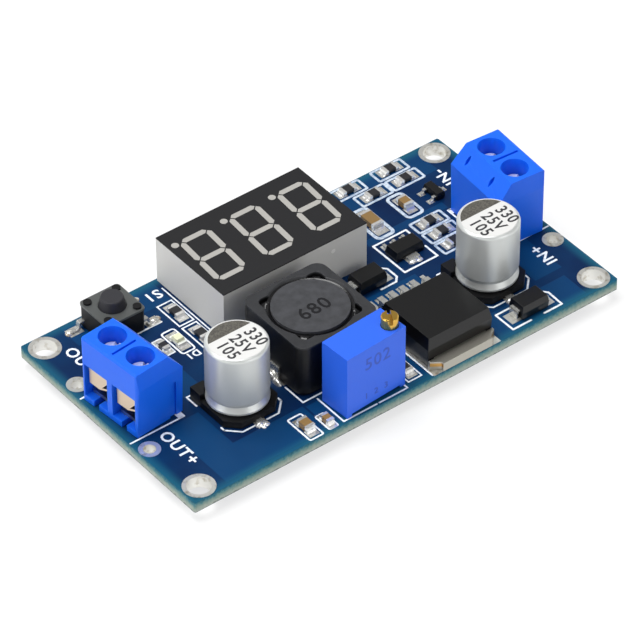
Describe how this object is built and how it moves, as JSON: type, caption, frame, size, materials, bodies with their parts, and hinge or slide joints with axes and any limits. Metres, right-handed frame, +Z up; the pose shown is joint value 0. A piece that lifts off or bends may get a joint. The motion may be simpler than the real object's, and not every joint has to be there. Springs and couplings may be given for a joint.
{
  "type": "step-down voltage converter board",
  "caption": "Blue step-down converter board with a numeric voltmeter, screw terminals at both ends, can capacitors, shielded inductor, tabbed regulator, multi-turn trimmer and push button",
  "frame": {"origin": "middle of the four mounting holes, on the underside of the board", "axes": "+X along the board towards the input terminal, +Y towards the edge with the display, +Z up out of the face with the parts"},
  "size_m": [0.0666, 0.036, 0.0141],
  "materials": {
    "solder_mask": "glossy blue lacquer",
    "tinned": "bright tin plating",
    "solder": "bright solder",
    "display_shell": "light grey moulding",
    "display_mask": "smooth dark face",
    "resin": "cast milky resin",
    "laminate": "bare laminate",
    "blue_moulding": "satin blue moulding",
    "clamp_metal": "pale brass sheet",
    "screw_steel": "zinc-plated steel",
    "can": "satin drawn aluminium",
    "black_moulding": "matte black moulding",
    "ferrite": "lacquered ferrite",
    "copper_wire": "enamelled copper wire",
    "trimmer_blue": "bright blue moulding",
    "brass": "turned brass",
    "seal": "cast blue sealant",
    "tab_metal": "dull tin plating",
    "grey_cover": "dull grey pressed cover",
    "spring_metal": "thin spring steel",
    "ceramic": "fired brown ceramic",
    "pale_ceramic": "pale substrate",
    "lens": "pale cast lens"
  },
  "bodies": {
    "board": {"circuit_board": "solder_mask", "plated_lands": "tinned", "solder_joints": "solder", "display_shell": "display_shell", "display_mask": "display_mask", "display_resin": "resin", "display_backing": "laminate", "display_pins": "tinned", "output_housing": "blue_moulding", "output_contacts": "tinned", "input_housing": "blue_moulding", "input_contacts": "tinned", "output_capacitor_can": "can", "output_capacitor_base": "black_moulding", "output_capacitor_leads": "tinned", "input_capacitor_can": "can", "input_capacitor_base": "black_moulding", "input_capacitor_leads": "tinned", "inductor_shield": "ferrite", "inductor_drum": "ferrite", "inductor_winding": "copper_wire", "inductor_clips": "tinned", "trimmer_housing": "trimmer_blue", "trimmer_seal": "seal", "trimmer_pins": "tinned", "regulator_body": "black_moulding", "regulator_tab": "tab_metal", "regulator_leads": "tinned", "input_diode_body": "black_moulding", "input_diode_leads": "tinned", "output_diode_body": "black_moulding", "output_diode_leads": "tinned", "small_regulator_body": "black_moulding", "small_regulator_leads": "tinned", "transistor_body": "black_moulding", "transistor_leads": "tinned", "switch_base": "black_moulding", "switch_cover": "grey_cover", "switch_dome": "spring_metal", "switch_legs": "tinned", "chip_resistor_bodies": "black_moulding", "chip_resistor_ends": "tinned", "ceramic_capacitor_bodies": "ceramic", "ceramic_capacitor_ends": "tinned", "indicator_base": "pale_ceramic", "indicator_lens": "lens", "driver_chip_body": "black_moulding", "driver_chip_leads": "tinned"},
    "output_positive_clamp_body": {"output_positive_clamp": "clamp_metal"},
    "output_positive_screw_body": {"output_positive_screw": "screw_steel"},
    "output_negative_clamp_body": {"output_negative_clamp": "clamp_metal"},
    "output_negative_screw_body": {"output_negative_screw": "screw_steel"},
    "input_positive_clamp_body": {"input_positive_clamp": "clamp_metal"},
    "input_positive_screw_body": {"input_positive_screw": "screw_steel"},
    "input_negative_clamp_body": {"input_negative_clamp": "clamp_metal"},
    "input_negative_screw_body": {"input_negative_screw": "screw_steel"},
    "trimmer_screw_body": {"trimmer_screw": "brass"},
    "button_body": {"switch_button": "black_moulding"}
  },
  "joints": [
    {"name": "output_positive_press", "type": "slide", "parent": "board", "child": "output_positive_clamp_body", "axis": [0, 0, -1], "range_m": [0, 0.00135]},
    {"name": "output_positive_turn", "type": "hinge", "parent": "output_positive_clamp_body", "child": "output_positive_screw_body", "pos_m": [-0.02911, -0.00194, 0.008], "axis": [0, 0, -1], "range_deg": [0, 1080]},
    {"name": "output_negative_press", "type": "slide", "parent": "board", "child": "output_negative_clamp_body", "axis": [0, 0, -1], "range_m": [0, 0.00135]},
    {"name": "output_negative_turn", "type": "hinge", "parent": "output_negative_clamp_body", "child": "output_negative_screw_body", "pos_m": [-0.02958, 0.00311, 0.008], "axis": [0, 0, -1], "range_deg": [0, 1080]},
    {"name": "input_positive_press", "type": "slide", "parent": "board", "child": "input_positive_clamp_body", "axis": [0, 0, -1], "range_m": [0, 0.00135]},
    {"name": "input_positive_turn", "type": "hinge", "parent": "input_positive_clamp_body", "child": "input_positive_screw_body", "pos_m": [0.02916, -0.00223, 0.008], "axis": [0, 0, -1], "range_deg": [0, 1080]},
    {"name": "input_negative_press", "type": "slide", "parent": "board", "child": "input_negative_clamp_body", "axis": [0, 0, -1], "range_m": [0, 0.00135]},
    {"name": "input_negative_turn", "type": "hinge", "parent": "input_negative_clamp_body", "child": "input_negative_screw_body", "pos_m": [0.02953, 0.00283, 0.008], "axis": [0, 0, -1], "range_deg": [0, 1080]},
    {"name": "trimmer_turn", "type": "hinge", "parent": "board", "child": "trimmer_screw_body", "pos_m": [-0.00161, -0.01549, 0.011], "axis": [0, 0, 1], "continuous": true},
    {"name": "button_press", "type": "slide", "parent": "board", "child": "button_body", "axis": [0, 0, -1], "range_m": [0, 0.00025], "stiffness_N_per_m": 8000, "deforming": ["switch_dome"]}
  ],
  "couplings": [
    {"joint": "output_positive_turn", "follows": "output_positive_press", "rad_per_m": 13963},
    {"joint": "output_negative_turn", "follows": "output_negative_press", "rad_per_m": 13963},
    {"joint": "input_positive_turn", "follows": "input_positive_press", "rad_per_m": 13963},
    {"joint": "input_negative_turn", "follows": "input_negative_press", "rad_per_m": 13963}
  ]
}
